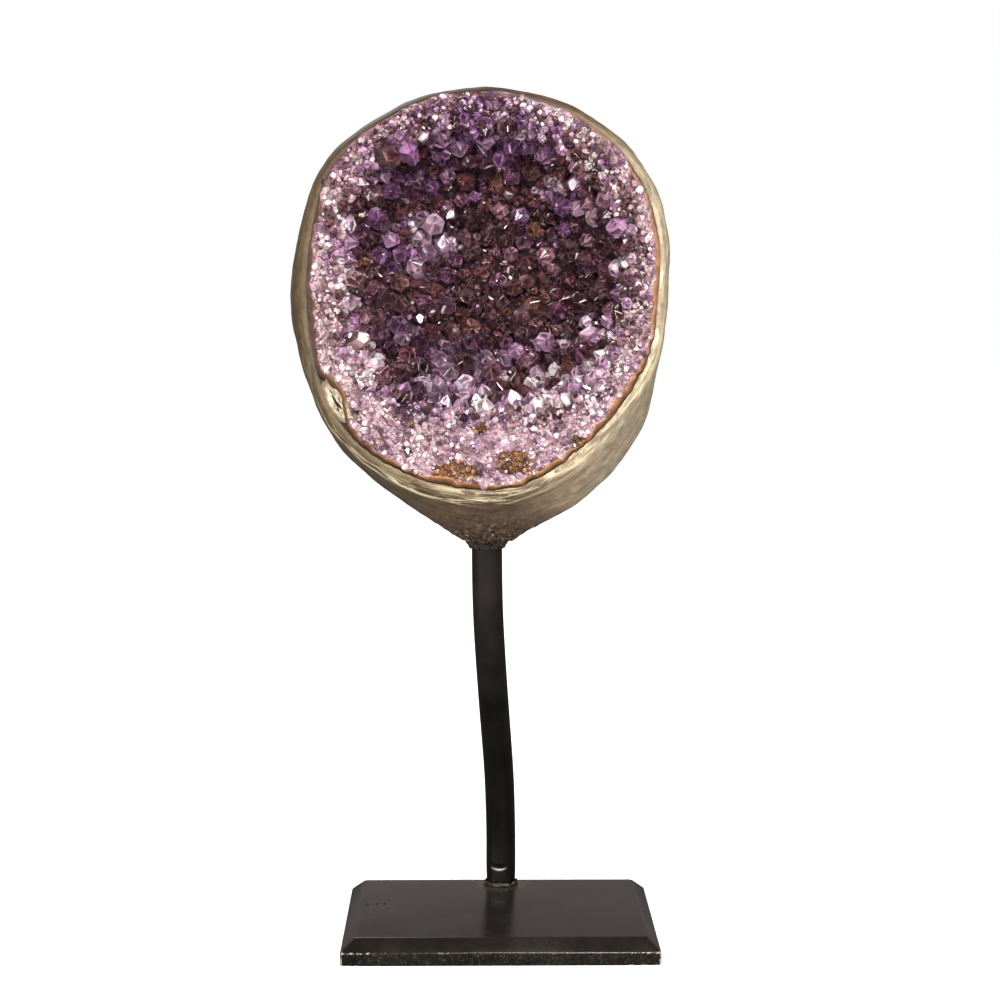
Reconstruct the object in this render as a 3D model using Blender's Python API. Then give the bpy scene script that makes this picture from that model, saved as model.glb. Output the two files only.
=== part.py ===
"""A half geode of amethyst on a welded steel display stand.

Metres, +Z up. The origin is the centre of the base plate's underside, +X is to the
viewer's right and +Y runs away from the viewer, so the open face of the geode looks
along -Y. The stand is a chamfered plate, a bent round bar and the weld between them.
The stone is a cup of host rock, an agate lining, a bed of small quartz points and the
larger amethyst points that stand out of the bed. The bar ends in a hole drilled in
the underside of the rock, held there by resin.
"""
import math
import random

import bmesh
import bpy
from mathutils import Matrix, Vector

MM = 0.001
GAP = 0.3 * MM                      # clearance kept between touching pieces

# Base plate
PLATE_WIDTH = 100 * MM
PLATE_DEPTH = 80 * MM
PLATE_THICKNESS = 8 * MM
CHAMFER_INSET = 6 * MM
CHAMFER_DROP = 3.75 * MM
CORNER_RADIUS = 1 * MM

# Bent bar: the middle of the round bar, from the plate up into the rock
BAR_RADIUS = 5 * MM
BAR_SIDES = 20
BAR_FOOT = Vector((0.8, 30, 8.3)) * MM
BAR_ROUTE = [Vector(point) * MM for point in (
    (0.8, 30, 8.3), (0.8, 29.8, 26), (0.2, 24.5, 46), (-1.2, 15, 66),
    (-2.6, 6.5, 86), (-3.7, 2.6, 106), (-4, 2, 126), (-4, 2, 146))]
BAR_POINTS_PER_SPAN = 3
SOCKET_AXIS = Vector((-4, 2, 0)) * MM

# Weld bead round the foot of the bar
BEAD_WIDTH = 1.1 * MM
BEAD_HEIGHT = 1.6 * MM

# Drilled socket and the resin in it
HOLE_RADIUS = 6.3 * MM
HOLE_TOP = 146.6 * MM
NECK_END = 129.4 * MM               # where the underside of the rock is cut off flat
COLLAR_RADIUS = 9.4 * MM
COLLAR_WAIST_RADIUS = 7.1 * MM      # where the collar turns in towards the bar
COLLAR_WAIST = 127.3 * MM
COLLAR_LIP = 0.5 * MM
COLLAR_END = 125.7 * MM
DRILL_SKIRT_RADIUS = 30 * MM        # the wide foot of the cutter, which trims the neck
DRILL_SKIRT_DEPTH = 20 * MM

# The geode's own frame: the cut face looks forward, a little up and a little left
FACE_CENTRE = Vector((-5, -24, 207)) * MM
FACE_LEAN = math.radians(8)
FACE_TURN = math.radians(4)

# Outlines about the face centre, one radius each 20 degrees from +X towards +Z
FACE_OUTLINE = (55, 58.6, 62.3, 63.7, 64, 64.3, 64, 63.8, 59, 57, 57.8, 61.2, 61.8,
                61.6, 61.8, 58, 56.1, 56)
BODY_OUTLINE = (55.5, 60, 64.8, 66.8, 67.8, 68, 68.8, 69.5, 66, 63.6, 63, 65, 67, 70.5,
                70.5, 67.2, 62.5, 57)
MOUTH_OUTLINE = (43, 46, 49, 51, 53, 54, 54, 52, 47, 43, 42, 41, 38, 36, 36, 38, 41, 42)
BODY_WIDEST = 32 * MM               # depth of the widest section behind the cut face
BODY_DEPTH = 60 * MM
BODY_ROUNDING = 0.9                 # below 1 a bowl is fuller than an ellipse
BOWL_ROUNDING = 0.8
BODY_TURNS = (0, 0.33, 0.66, 1, 1.2, 1.4, 1.6, 1.76, 1.9)
BOWL_TURNS = (0, 0.25, 0.45, 0.65, 0.85)
CAVITY_TURNS = (0, 0.14, 0.28, 0.42, 0.56, 0.7, 0.84)
ROCK_AT_FACE = 1.9 * MM             # width of the rock and agate rings on the cut face
AGATE_AT_FACE = 2.3 * MM
ROCK_BOWL_DEPTH = 44 * MM
AGATE_THICKNESS = 1.8 * MM
CAVITY_DEPTH = 27 * MM
WALL_POWER = 2.5                    # how flat the cavity's floor is under the crystals
SEGMENTS = 48

# The underside is drawn down into a blunt cone round the bar
NECK_DROP = 7.6 * MM
NECK_REACH = 28 * MM
NECK_CUT_BELOW = 150 * MM           # edges lower than this are cut finer
NECK_PULL_BELOW = 152 * MM

# Bed of small points: how high each cell of the wall is raised, by its own size
POINT_RISE = (0.25, 0.6)
RIM_RISE = (0.05, 0.2)

POINT_HEIGHT_SHARE = 0.62           # of a crystal's width, taken by its pointed end
ROOTED_SHARE = 0.45                 # of a crystal's length, sunk in the bed
OUTWARD_PULL = 0.8                  # how far crystals lean from the wall to the opening
SOCKET_SIDE_GAP = 1.3 * GAP         # clearance round a crystal in its socket
SOCKET_END_GAP = 1.3 * GAP
SOCKET_TIP_GAP = 1.7 * GAP

# Larger points: across and up the face, width across the corners, length, all in mm
LARGE_POINTS = (
    (-18, 26, 8, 12), (-20, 17, 7, 10), (-5, 28, 9, 12), (-6, 18, 7.5, 11),
    (-14, 0, 7.5, 11), (-8, -20, 9.5, 13), (1.5, -22, 7.5, 11), (9, -15, 6, 11),
    (18, -19, 8, 10), (-29, -7, 7.5, 10), (-18.5, -9, 7, 10), (-31, 36, 7.5, 10),
    (-35, 26, 7, 9), (26, 17, 8.5, 12), (34, 27, 7.5, 9), (24, 31, 7, 10),
    (14, 42, 7, 10), (-1, 46, 7.5, 10), (-36, 4, 7, 9), (36, 4, 7.5, 9),
    (30, -14, 7.5, 10), (-15, -32, 8, 9), (8, 6, 6.5, 11), (-24, 46, 7, 9))


def named_material(name, color, roughness, metallic=0.0):
    """A plain Principled material in linear RGB."""
    material = bpy.data.materials.new(name)
    material.use_nodes = True
    shader = material.node_tree.nodes["Principled BSDF"]
    shader.inputs["Base Color"].default_value = (*color, 1)
    shader.inputs["Roughness"].default_value = roughness
    shader.inputs["Metallic"].default_value = metallic
    material.diffuse_color = (*color, 1)
    return material


def add_object(name, bm, material, smooth_angle=40):
    """Turn a bmesh into a linked object whose faces point out."""
    bmesh.ops.recalc_face_normals(bm, faces=bm.faces)
    mesh = bpy.data.meshes.new(name)
    bm.to_mesh(mesh)
    bm.free()
    mesh.shade_smooth()
    mesh.set_sharp_from_angle(angle=math.radians(smooth_angle))
    mesh.materials.append(material)
    piece = bpy.data.objects.new(name, mesh)
    bpy.context.scene.collection.objects.link(piece)
    return piece


def cut_with(piece, cutter):
    """Subtract a hidden cutter from a piece."""
    cutter.hide_render = True
    cutter.display_type = 'WIRE'
    cut = piece.modifiers.new("cut", 'BOOLEAN')
    cut.operation = 'DIFFERENCE'
    cut.object = cutter


def turned(profile, centre, sides):
    """A bmesh turned about a vertical axis from a closed profile of (radius, z)."""
    bm = bmesh.new()
    points = [bm.verts.new((centre.x + radius, centre.y, z)) for radius, z in profile]
    edges = [bm.edges.new(pair) for pair in zip(points, points[1:] + points[:1])]
    bmesh.ops.spin(bm, geom=points + edges, cent=centre, axis=(0, 0, 1),
                   angle=math.tau, steps=sides, use_merge=True)
    bmesh.ops.remove_doubles(bm, verts=bm.verts, dist=0.001 * MM)
    return bm


# Stand -----------------------------------------------------------------------------

def make_base_plate(material):
    bm = bmesh.new()
    bmesh.ops.create_cube(bm, size=1)
    bmesh.ops.scale(bm, vec=(PLATE_WIDTH, PLATE_DEPTH, PLATE_THICKNESS), verts=bm.verts)
    bmesh.ops.translate(bm, vec=(0, 0, PLATE_THICKNESS / 2), verts=bm.verts)
    top = max(bm.faces, key=lambda face: face.calc_center_median().z)
    bmesh.ops.inset_region(bm, faces=[top], thickness=CHAMFER_INSET)
    rim = [vert for vert in bm.verts
           if vert.co.z > PLATE_THICKNESS / 2 and vert not in top.verts]
    bmesh.ops.translate(bm, vec=(0, 0, -CHAMFER_DROP), verts=rim)
    corners = [edge for edge in bm.edges
               if abs(edge.verts[0].co.z - edge.verts[1].co.z) > CHAMFER_DROP / 2]
    bmesh.ops.bevel(bm, geom=corners, affect='EDGES', offset=CORNER_RADIUS, segments=2,
                    profile=0.5)
    return add_object("base_plate", bm, material, smooth_angle=20)


def bar_centre_line():
    """Points on a smooth curve through the bar's route."""
    ends = [BAR_ROUTE[0] * 2 - BAR_ROUTE[1], *BAR_ROUTE, BAR_ROUTE[-1] * 2 - BAR_ROUTE[-2]]
    line = []
    for a, b, c, d in zip(ends, ends[1:], ends[2:], ends[3:]):
        for step in range(BAR_POINTS_PER_SPAN):
            t = step / BAR_POINTS_PER_SPAN
            line.append((b * 2 + (c - a) * t + (a * 2 - b * 5 + c * 4 - d) * t ** 2
                         + (b * 3 - a - c * 3 + d) * t ** 3) / 2)
    line.append(BAR_ROUTE[-1])
    return line


def make_post(material):
    line = bar_centre_line()
    bm = bmesh.new()
    rings = []
    for index, centre in enumerate(line):
        along = line[min(index + 1, len(line) - 1)] - line[max(index - 1, 0)]
        if index in (0, len(line) - 1):
            along = Vector((0, 0, 1))
        turn = Vector((0, 0, 1)).rotation_difference(along).to_matrix().to_4x4()
        ring = bmesh.ops.create_circle(bm, segments=BAR_SIDES, radius=BAR_RADIUS,
                                       matrix=Matrix.Translation(centre) @ turn)
        rings.append(ring["verts"])
    skin(bm, rings)
    bm.faces.new(rings[0])
    bm.faces.new(rings[-1])
    return add_object("post", bm, material)


def make_weld_bead(material):
    inner = BAR_RADIUS + GAP
    foot = PLATE_THICKNESS + GAP
    profile = [(inner, foot), (inner + BEAD_WIDTH, foot),
               (inner + BEAD_WIDTH * 0.85, foot + BEAD_HEIGHT * 0.4),
               (inner + BEAD_WIDTH * 0.3, foot + BEAD_HEIGHT),
               (inner, foot + BEAD_HEIGHT)]
    return add_object("weld_bead", turned(profile, BAR_FOOT, 24), material)


def make_socket_glue(material):
    inner = BAR_RADIUS + GAP
    sleeve = HOLE_RADIUS - GAP
    profile = [(inner, HOLE_TOP - GAP), (sleeve, HOLE_TOP - GAP),
               (sleeve, NECK_END - GAP), (COLLAR_RADIUS, NECK_END - GAP),
               (COLLAR_WAIST_RADIUS, COLLAR_WAIST),
               (inner + COLLAR_LIP, COLLAR_END), (inner, COLLAR_END)]
    return add_object("socket_glue", turned(profile, SOCKET_AXIS, 24), material)


# Stone -----------------------------------------------------------------------------

def face_frame():
    """The geode's frame: X across the cut face, Y up it, Z out of it."""
    out = Vector((-math.sin(FACE_TURN) * math.cos(FACE_LEAN),
                  -math.cos(FACE_TURN) * math.cos(FACE_LEAN), math.sin(FACE_LEAN)))
    across = Vector((0, 0, 1)).cross(out).normalized()
    up = out.cross(across)
    frame = Matrix((across, up, out)).transposed().to_4x4()
    return Matrix.Translation(FACE_CENTRE) @ frame


FRAME = face_frame()


def smooth_radius(outline, angle):
    """Radius of a closed outline at an angle, on a smooth curve through its radii."""
    place = (angle / math.tau) % 1 * len(outline)
    start = int(place)
    t = place - start
    a, b, c, d = (outline[(start + shift) % len(outline)] for shift in (-1, 0, 1, 2))
    radius = (2 * b + (c - a) * t + (2 * a - 5 * b + 4 * c - d) * t * t
              + (3 * b - a - 3 * c + d) * t ** 3) / 2
    return radius * MM


def on_face(angle, radius, depth):
    """World point at an angle and radius about the face's centre, depth behind it."""
    return FRAME @ Vector((radius * math.cos(angle), radius * math.sin(angle), -depth))


def angles():
    return [math.tau * index / SEGMENTS for index in range(SEGMENTS)]


def body_ring(bm, turn):
    """A ring of the rock's outside: turn 0 is the cut face, 1 the widest, 2 the back."""
    ring = []
    for angle in angles():
        face = smooth_radius(FACE_OUTLINE, angle)
        body = smooth_radius(BODY_OUTLINE, angle)
        if turn <= 1:
            depth = BODY_WIDEST * turn
            radius = face + (body - face) * math.sin(turn * math.pi / 2)
        else:
            swing = (turn - 1) * math.pi / 2
            depth = BODY_WIDEST + (BODY_DEPTH - BODY_WIDEST) * math.sin(swing)
            radius = body * math.cos(swing) ** BODY_ROUNDING
        ring.append(bm.verts.new(on_face(angle, radius, depth)))
    return ring


def bowl_ring(bm, inset, bowl_depth, turn):
    """A ring of a round bowl that starts inset from the face's edge and ends in a pole."""
    swing = turn * math.pi / 2
    return [bm.verts.new(on_face(angle, (smooth_radius(FACE_OUTLINE, angle) - inset)
                                 * math.cos(swing) ** BOWL_ROUNDING, bowl_depth * math.sin(swing)))
            for angle in angles()]


def cavity_ring(bm, turn):
    """A ring of the cavity's wall: 0 is the mouth on the cut face, 1 the bottom."""
    swing = turn * math.pi / 2
    return [bm.verts.new(on_face(angle, smooth_radius(MOUTH_OUTLINE, angle)
                                 * math.cos(swing) ** BOWL_ROUNDING,
                                 CAVITY_DEPTH * math.sin(swing)))
            for angle in angles()]


def skin(bm, rings):
    """Quads between rings that have the same number of points."""
    faces = []
    for lower, upper in zip(rings, rings[1:]):
        for index in range(len(lower)):
            after = (index + 1) % len(lower)
            faces.append(bm.faces.new((lower[index], lower[after],
                                       upper[after], upper[index])))
    return faces


def close_bowl(bm, ring, depth):
    """A fan from a ring to the pole of its bowl."""
    pole = bm.verts.new(on_face(0, 0, depth))
    return [bm.faces.new((ring[index], ring[(index + 1) % len(ring)], pole))
            for index in range(len(ring))]


def draw_neck_down(bm):
    """Pull the underside of the rock down into a blunt cone round the bar."""
    def reach(point):
        return math.hypot(point.x - SOCKET_AXIS.x, point.y - SOCKET_AXIS.y)

    near = [edge for edge in bm.edges
            if all(vert.co.z < NECK_CUT_BELOW and reach(vert.co) < NECK_REACH
                   for vert in edge.verts)]
    bmesh.ops.subdivide_edges(bm, edges=near, cuts=1, use_grid_fill=True)
    for vert in bm.verts:
        pull = max(0.0, 1 - reach(vert.co) / NECK_REACH)
        if vert.co.z < NECK_PULL_BELOW:
            vert.co.z -= NECK_DROP * pull * pull * (3 - 2 * pull)


def make_rind(material, cutter_material):
    bm = bmesh.new()
    outside = [body_ring(bm, turn) for turn in BODY_TURNS]
    skin(bm, outside)
    close_bowl(bm, outside[-1], BODY_DEPTH)
    draw_neck_down(bm)
    inside = [bowl_ring(bm, ROCK_AT_FACE, ROCK_BOWL_DEPTH, turn) for turn in BOWL_TURNS]
    skin(bm, [body_ring(bm, 0), *inside])
    close_bowl(bm, inside[-1], ROCK_BOWL_DEPTH)
    bmesh.ops.remove_doubles(bm, verts=bm.verts, dist=0.001 * MM)
    rind = add_object("rind", bm, material)
    profile = [(0, HOLE_TOP), (HOLE_RADIUS, HOLE_TOP), (HOLE_RADIUS, NECK_END),
               (DRILL_SKIRT_RADIUS, NECK_END),
               (DRILL_SKIRT_RADIUS, NECK_END - DRILL_SKIRT_DEPTH),
               (0, NECK_END - DRILL_SKIRT_DEPTH)]
    drill = add_object("socket_drill", turned(profile, SOCKET_AXIS, 24), cutter_material)
    cut_with(rind, drill)
    return rind


def make_agate_band(material):
    bm = bmesh.new()
    outer_inset = ROCK_AT_FACE + GAP
    inner_inset = ROCK_AT_FACE + AGATE_AT_FACE
    outer_depth = ROCK_BOWL_DEPTH - GAP
    inner_depth = outer_depth - AGATE_THICKNESS
    outside = [bowl_ring(bm, outer_inset, outer_depth, turn) for turn in BOWL_TURNS]
    inside = [bowl_ring(bm, inner_inset, inner_depth, turn) for turn in BOWL_TURNS]
    skin(bm, [*reversed(outside), *inside])
    close_bowl(bm, outside[-1], outer_depth)
    close_bowl(bm, inside[-1], inner_depth)
    return add_object("agate_band", bm, material)


def make_quartz_druse(material, sockets):
    """The bed of points: a bowl whose cavity side and cut rim are raised into points."""
    bm = bmesh.new()
    inset = ROCK_AT_FACE + AGATE_AT_FACE + GAP
    depth = ROCK_BOWL_DEPTH - AGATE_THICKNESS - 2 * GAP
    outside = [bowl_ring(bm, inset, depth, turn) for turn in BOWL_TURNS]
    inside = [cavity_ring(bm, turn) for turn in CAVITY_TURNS]
    skin(bm, outside)
    close_bowl(bm, outside[-1], depth)
    middle = [bm.verts.new((outer.co + inner.co) / 2)
              for outer, inner in zip(outside[0], inside[0])]
    rim = skin(bm, [outside[0], middle, inside[0]])
    wall = skin(bm, inside)
    close_bowl(bm, inside[-1], CAVITY_DEPTH)
    bmesh.ops.recalc_face_normals(bm, faces=bm.faces)
    shuffle = random.Random(7)
    for faces, rise in ((wall, POINT_RISE), (rim, RIM_RISE)):
        for face in faces:
            height = shuffle.uniform(*rise) * math.sqrt(face.calc_area())
            bmesh.ops.poke(bm, faces=[face], offset=height, center_mode='MEAN')
    druse = add_object("quartz_druse", bm, material, smooth_angle=5)
    cut_with(druse, sockets)
    return druse


def cavity_place(across, up):
    """Depth of the cavity's wall behind a point of the face, in the geode's frame."""
    angle = math.atan2(up, across)
    share = min(1.0, math.hypot(across, up) / smooth_radius(MOUTH_OUTLINE, angle))
    return CAVITY_DEPTH * math.sqrt(max(0.0, 1 - share ** WALL_POWER))


def shape_point(bm, width, length, matrix):
    """A six-sided crystal with a six-sided point, root first along its own Z."""
    radius = width / 2
    shaft = length - width * POINT_HEIGHT_SHARE
    made = bmesh.ops.create_cone(bm, cap_ends=True, segments=6, radius1=radius * 0.94,
                                 radius2=radius, depth=shaft,
                                 matrix=Matrix.Translation((0, 0, shaft / 2)))
    end = max((face for vert in made["verts"] for face in vert.link_faces),
              key=lambda face: face.calc_center_median().z)
    bmesh.ops.poke(bm, faces=[end], offset=length - shaft)
    bmesh.ops.transform(bm, matrix=matrix, verts=bm.verts)


def point_matrices():
    """Places of the larger points: rooted in the wall, leaning out of the cavity."""
    turns = random.Random(3)
    places = []
    for across, up, width, length in LARGE_POINTS:
        across, up, width, length = (value * MM for value in (across, up, width, length))
        depth = cavity_place(across, up)
        step = 1 * MM
        slope = Vector((cavity_place(across + step, up) - cavity_place(across - step, up),
                        cavity_place(across, up + step) - cavity_place(across, up - step),
                        2 * step))
        lean = (slope.normalized() + Vector((0, 0, OUTWARD_PULL))).normalized()
        root = Vector((across, up, -depth)) - lean * length * ROOTED_SHARE
        turn = Vector((0, 0, 1)).rotation_difference(lean).to_matrix().to_4x4()
        spin = Matrix.Rotation(turns.uniform(0, math.tau), 4, 'Z')
        places.append((width, length, FRAME @ Matrix.Translation(root) @ turn @ spin))
    return places


def make_crystals(material):
    """Each larger point, and one cutter that leaves a clear socket round each."""
    sockets = bmesh.new()
    for index, (width, length, place) in enumerate(point_matrices()):
        bm = bmesh.new()
        shape_point(bm, width, length, place)
        add_object(f"crystal_{index + 1:02d}", bm, material, smooth_angle=5)
        wider = bmesh.new()
        shape_point(wider, width + 2 * SOCKET_SIDE_GAP,
                    length + SOCKET_END_GAP + SOCKET_TIP_GAP,
                    place @ Matrix.Translation((0, 0, -SOCKET_END_GAP)))
        mesh = bpy.data.meshes.new("socket")
        wider.to_mesh(mesh)
        wider.free()
        sockets.from_mesh(mesh)
        bpy.data.meshes.remove(mesh)
    return add_object("crystal_sockets", sockets, material, smooth_angle=5)


def build():
    for old in list(bpy.data.objects):
        bpy.data.objects.remove(old)
    steel = named_material("satin_black_steel", (0.012, 0.011, 0.010), 0.35, 0.6)
    weld = named_material("blackened_weld", (0.020, 0.016, 0.013), 0.55, 0.5)
    rock = named_material("ground_basalt", (0.33, 0.27, 0.18), 0.5)
    agate = named_material("brown_agate", (0.30, 0.12, 0.03), 0.2)
    quartz = named_material("pale_quartz", (0.50, 0.36, 0.46), 0.25)
    amethyst = named_material("amethyst", (0.10, 0.03, 0.13), 0.1)
    resin = named_material("gritty_resin", (0.05, 0.035, 0.022), 0.7)
    make_base_plate(steel)
    make_post(steel)
    make_weld_bead(weld)
    make_socket_glue(resin)
    make_rind(rock, resin)
    make_agate_band(agate)
    sockets = make_crystals(amethyst)
    make_quartz_druse(quartz, sockets)


build()
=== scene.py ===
"""An amethyst half geode on a bent, welded steel stand, built up piece by piece."""
import math
import random

import bmesh
import bpy
import numpy as np
from mathutils import Matrix, Vector, noise


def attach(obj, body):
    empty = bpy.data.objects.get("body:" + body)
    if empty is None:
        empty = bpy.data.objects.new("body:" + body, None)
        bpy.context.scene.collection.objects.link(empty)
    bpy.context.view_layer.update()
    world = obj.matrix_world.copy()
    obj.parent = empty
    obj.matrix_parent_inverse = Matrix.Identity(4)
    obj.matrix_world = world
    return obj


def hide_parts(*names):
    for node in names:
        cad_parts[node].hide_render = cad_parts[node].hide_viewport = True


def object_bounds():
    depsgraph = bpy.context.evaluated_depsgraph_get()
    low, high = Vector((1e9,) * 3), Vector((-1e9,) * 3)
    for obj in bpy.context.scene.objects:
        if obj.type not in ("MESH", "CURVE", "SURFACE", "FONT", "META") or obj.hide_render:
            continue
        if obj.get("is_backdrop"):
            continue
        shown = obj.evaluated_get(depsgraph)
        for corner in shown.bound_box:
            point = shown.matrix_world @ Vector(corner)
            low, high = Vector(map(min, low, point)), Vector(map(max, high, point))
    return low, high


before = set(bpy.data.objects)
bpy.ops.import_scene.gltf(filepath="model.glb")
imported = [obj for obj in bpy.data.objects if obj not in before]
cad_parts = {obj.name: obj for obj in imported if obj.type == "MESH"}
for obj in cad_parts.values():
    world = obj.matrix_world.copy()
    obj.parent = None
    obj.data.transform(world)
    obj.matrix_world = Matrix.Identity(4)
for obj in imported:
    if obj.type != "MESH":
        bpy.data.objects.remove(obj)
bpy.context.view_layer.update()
MM = 0.001


# Studio: a white table in a white room. One large soft light stands high in front to the
# right, weaker ones to the left, above and behind, and small hard lights make the sparks.

def linear(hex_color):
    """sRGB hex text as linear RGBA."""
    channels = [int(hex_color[i:i + 2], 16) / 255 for i in (1, 3, 5)]
    return (*(c / 12.92 if c <= 0.04045 else ((c + 0.055) / 1.055) ** 2.4
              for c in channels), 1)


def add_node(tree, kind, settings=None, links=None):
    """A new node. Settings are properties or socket values, links are socket sources."""
    node = tree.nodes.new(kind)
    for name, value in (settings or {}).items():
        if isinstance(name, int) or name in node.inputs:
            node.inputs[name].default_value = value
        else:
            setattr(node, name, value)
    for name, source in (links or {}).items():
        tree.links.new(source, node.inputs[name])
    return node


def add_ramp(tree, source, stops):
    """A colour ramp over a value. Stops are (position, hex) in rising order."""
    node = add_node(tree, "ShaderNodeValToRGB", None, {"Fac": source})
    ramp = node.color_ramp
    ramp.elements[0].position, ramp.elements[1].position = stops[0][0], stops[-1][0]
    ramp.elements[0].color, ramp.elements[1].color = linear(stops[0][1]), linear(stops[-1][1])
    for position, tone in stops[1:-1]:
        ramp.elements.new(position).color = linear(tone)
    return node.outputs["Color"]


def new_material(name, settings):
    """A Principled material with constant values on its own sockets."""
    material = bpy.data.materials.new(name)
    material.use_nodes = True
    shader = material.node_tree.nodes["Principled BSDF"]
    for socket, value in settings.items():
        shader.inputs[socket].default_value = value
    return material, material.node_tree, shader


def add_object(name, bm, material):
    """Link a bmesh as an object at the origin."""
    mesh = bpy.data.meshes.new(name)
    bm.to_mesh(mesh)
    bm.free()
    mesh.materials.append(material)
    piece = bpy.data.objects.new(name, mesh)
    bpy.context.scene.collection.objects.link(piece)
    return piece


def soft_light(name, place, target, size, power, color="#ffffff"):
    lamp = bpy.data.lights.new(name, 'AREA')
    lamp.shape = 'DISK'
    lamp.size = size
    lamp.energy = power
    lamp.color = linear(color)[:3]
    light = bpy.data.objects.new(name, lamp)
    light.location = place
    light.rotation_euler = (Vector(target) - Vector(place)).to_track_quat('-Z', 'Y').to_euler()
    bpy.context.scene.collection.objects.link(light)


camera_data = bpy.data.cameras.new("camera")
camera_data.lens = 86.93
camera_data.sensor_width = 36
camera = bpy.data.objects.new("camera", camera_data)
camera.location = (-0.0086, -0.7723, 0.2156)
camera.rotation_euler = (math.radians(90 - 5.478), 0, math.radians(-0.6525))
bpy.context.scene.collection.objects.link(camera)
bpy.context.scene.camera = camera

floor_bm = bmesh.new()
bmesh.ops.create_grid(floor_bm, x_segments=1, y_segments=1, size=4)
floor_material, tree, shader = new_material("matt_white_paper", {
    "Base Color": linear("#f7f6f4"), "Roughness": 0.9, "Emission Color": (1, 1, 1, 1)})
place = add_node(tree, "ShaderNodeTexCoord").outputs["Object"]
away = add_node(tree, "ShaderNodeVectorMath", {"operation": 'LENGTH'}, {0: place})
level = add_node(tree, "ShaderNodeMapRange", {"From Min": 0.12, "From Max": 0.7, "To Min": 0.55,
                                              "To Max": 1.0}, {"Value": away.outputs["Value"]})
seen = add_node(tree, "ShaderNodeLightPath").outputs["Is Camera Ray"]
glow = add_node(tree, "ShaderNodeMath", {"operation": 'MULTIPLY'}, {0: seen, 1: level.outputs[0]})
tree.links.new(glow.outputs[0], shader.inputs["Emission Strength"])
floor = add_object("floor", floor_bm, floor_material)
floor.visible_glossy = False
floor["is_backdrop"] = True

STONE_MIDDLE = (-0.005, 0, 0.205)
soft_light("key", (0.32, -0.95, 0.80), STONE_MIDDLE, 0.32, 11)
soft_light("fill_left", (-0.9, -0.6, 0.40), STONE_MIDDLE, 0.35, 4.5)
soft_light("top", (0.05, -0.55, 1.05), STONE_MIDDLE, 0.28, 5)
soft_light("back", (-0.35, 0.85, 0.95), STONE_MIDDLE, 0.6, 4)
SPARKS = 22
SPARK_DISTANCE = 0.9
for number in range(SPARKS):
    turn = number * 2.4
    spread = math.sqrt((number + 0.5) / SPARKS) * math.radians(62)
    place = Vector(STONE_MIDDLE) + SPARK_DISTANCE * Vector(
        (math.sin(spread) * math.cos(turn), -math.cos(spread), math.sin(spread) * math.sin(turn)))
    if place.z > 0.1:
        soft_light(f"spark_{number:02d}", place, STONE_MIDDLE, 0.08, 0.55)

world = bpy.data.worlds.new("studio")
bpy.context.scene.world = world
world.use_nodes = True
sky = world.node_tree
sky.nodes.clear()
view = add_node(sky, "ShaderNodeTexCoord").outputs["Generated"]
sides = add_node(sky, "ShaderNodeSeparateXYZ", None, {0: view})
level = add_node(sky, "ShaderNodeMapRange", {"From Min": -1, "From Max": 1}, {"Value": sides.outputs["Z"]})
behind = add_node(sky, "ShaderNodeMapRange", {"From Min": -0.3, "From Max": 0.3, "To Min": 0.3,
                                              "To Max": 1.0}, {"Value": sides.outputs["Y"]})
room_tone = add_ramp(sky, level.outputs[0], (
    (0.0, "#5a5a5a"), (0.49, "#606060"), (0.52, "#8c8081"), (0.7, "#998f8e"), (0.88, "#606060"),
    (1.0, "#303030")))
room = add_node(sky, "ShaderNodeBackground", None, {"Color": room_tone, "Strength": behind.outputs[0]})
seen = add_node(sky, "ShaderNodeBackground", {"Color": (1, 1, 1, 1), "Strength": 1.0})
path = add_node(sky, "ShaderNodeLightPath")
both = add_node(sky, "ShaderNodeMixShader", None, {
    0: path.outputs["Is Camera Ray"], 1: room.outputs[0], 2: seen.outputs[0]})
add_node(sky, "ShaderNodeOutputWorld", None, {"Surface": both.outputs[0]})
bpy.context.scene.view_settings.view_transform = 'Standard'


# Base plate: 8 mm steel flat bar, sawn to length, with a chamfer ground on its four top
# edges. It is painted satin black, and the paint is rubbed through along the low edges.

EDGE_ROUNDING = 0.3 * MM
BAR_FOOT = Vector((0.8, 30, 8)) * MM
PIT_RADIUS = 0.4 * MM
PLATE_PITS = ((-43.1, 3.8), (-40.1, 4.1), (-37.7, 4.2))  # across and back, in mm


def cad_copy(node):
    """A bmesh copy of a CAD node, merged back from loose triangles."""
    bm = bmesh.new()
    bm.from_mesh(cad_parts[node].data)
    bmesh.ops.remove_doubles(bm, verts=bm.verts, dist=0.002 * MM)
    return bm


def flat_faces_joined(bm, angle):
    """Dissolve the triangle edges that lie inside flat faces."""
    bmesh.ops.dissolve_limit(bm, angle_limit=math.radians(angle), verts=bm.verts,
                             edges=bm.edges)


plate_bm = cad_copy("base_plate")
flat_faces_joined(plate_bm, 2)
worn = plate_bm.faces.layers.float.new("edge")
hard_edges = [edge for edge in plate_bm.edges if edge.calc_face_angle(0) > math.radians(25)]
rounded = bmesh.ops.bevel(plate_bm, geom=hard_edges, affect='EDGES', offset=EDGE_ROUNDING,
                          segments=3, profile=0.5, material=-1)
for face in rounded["faces"]:
    face[worn] = 1

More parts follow.
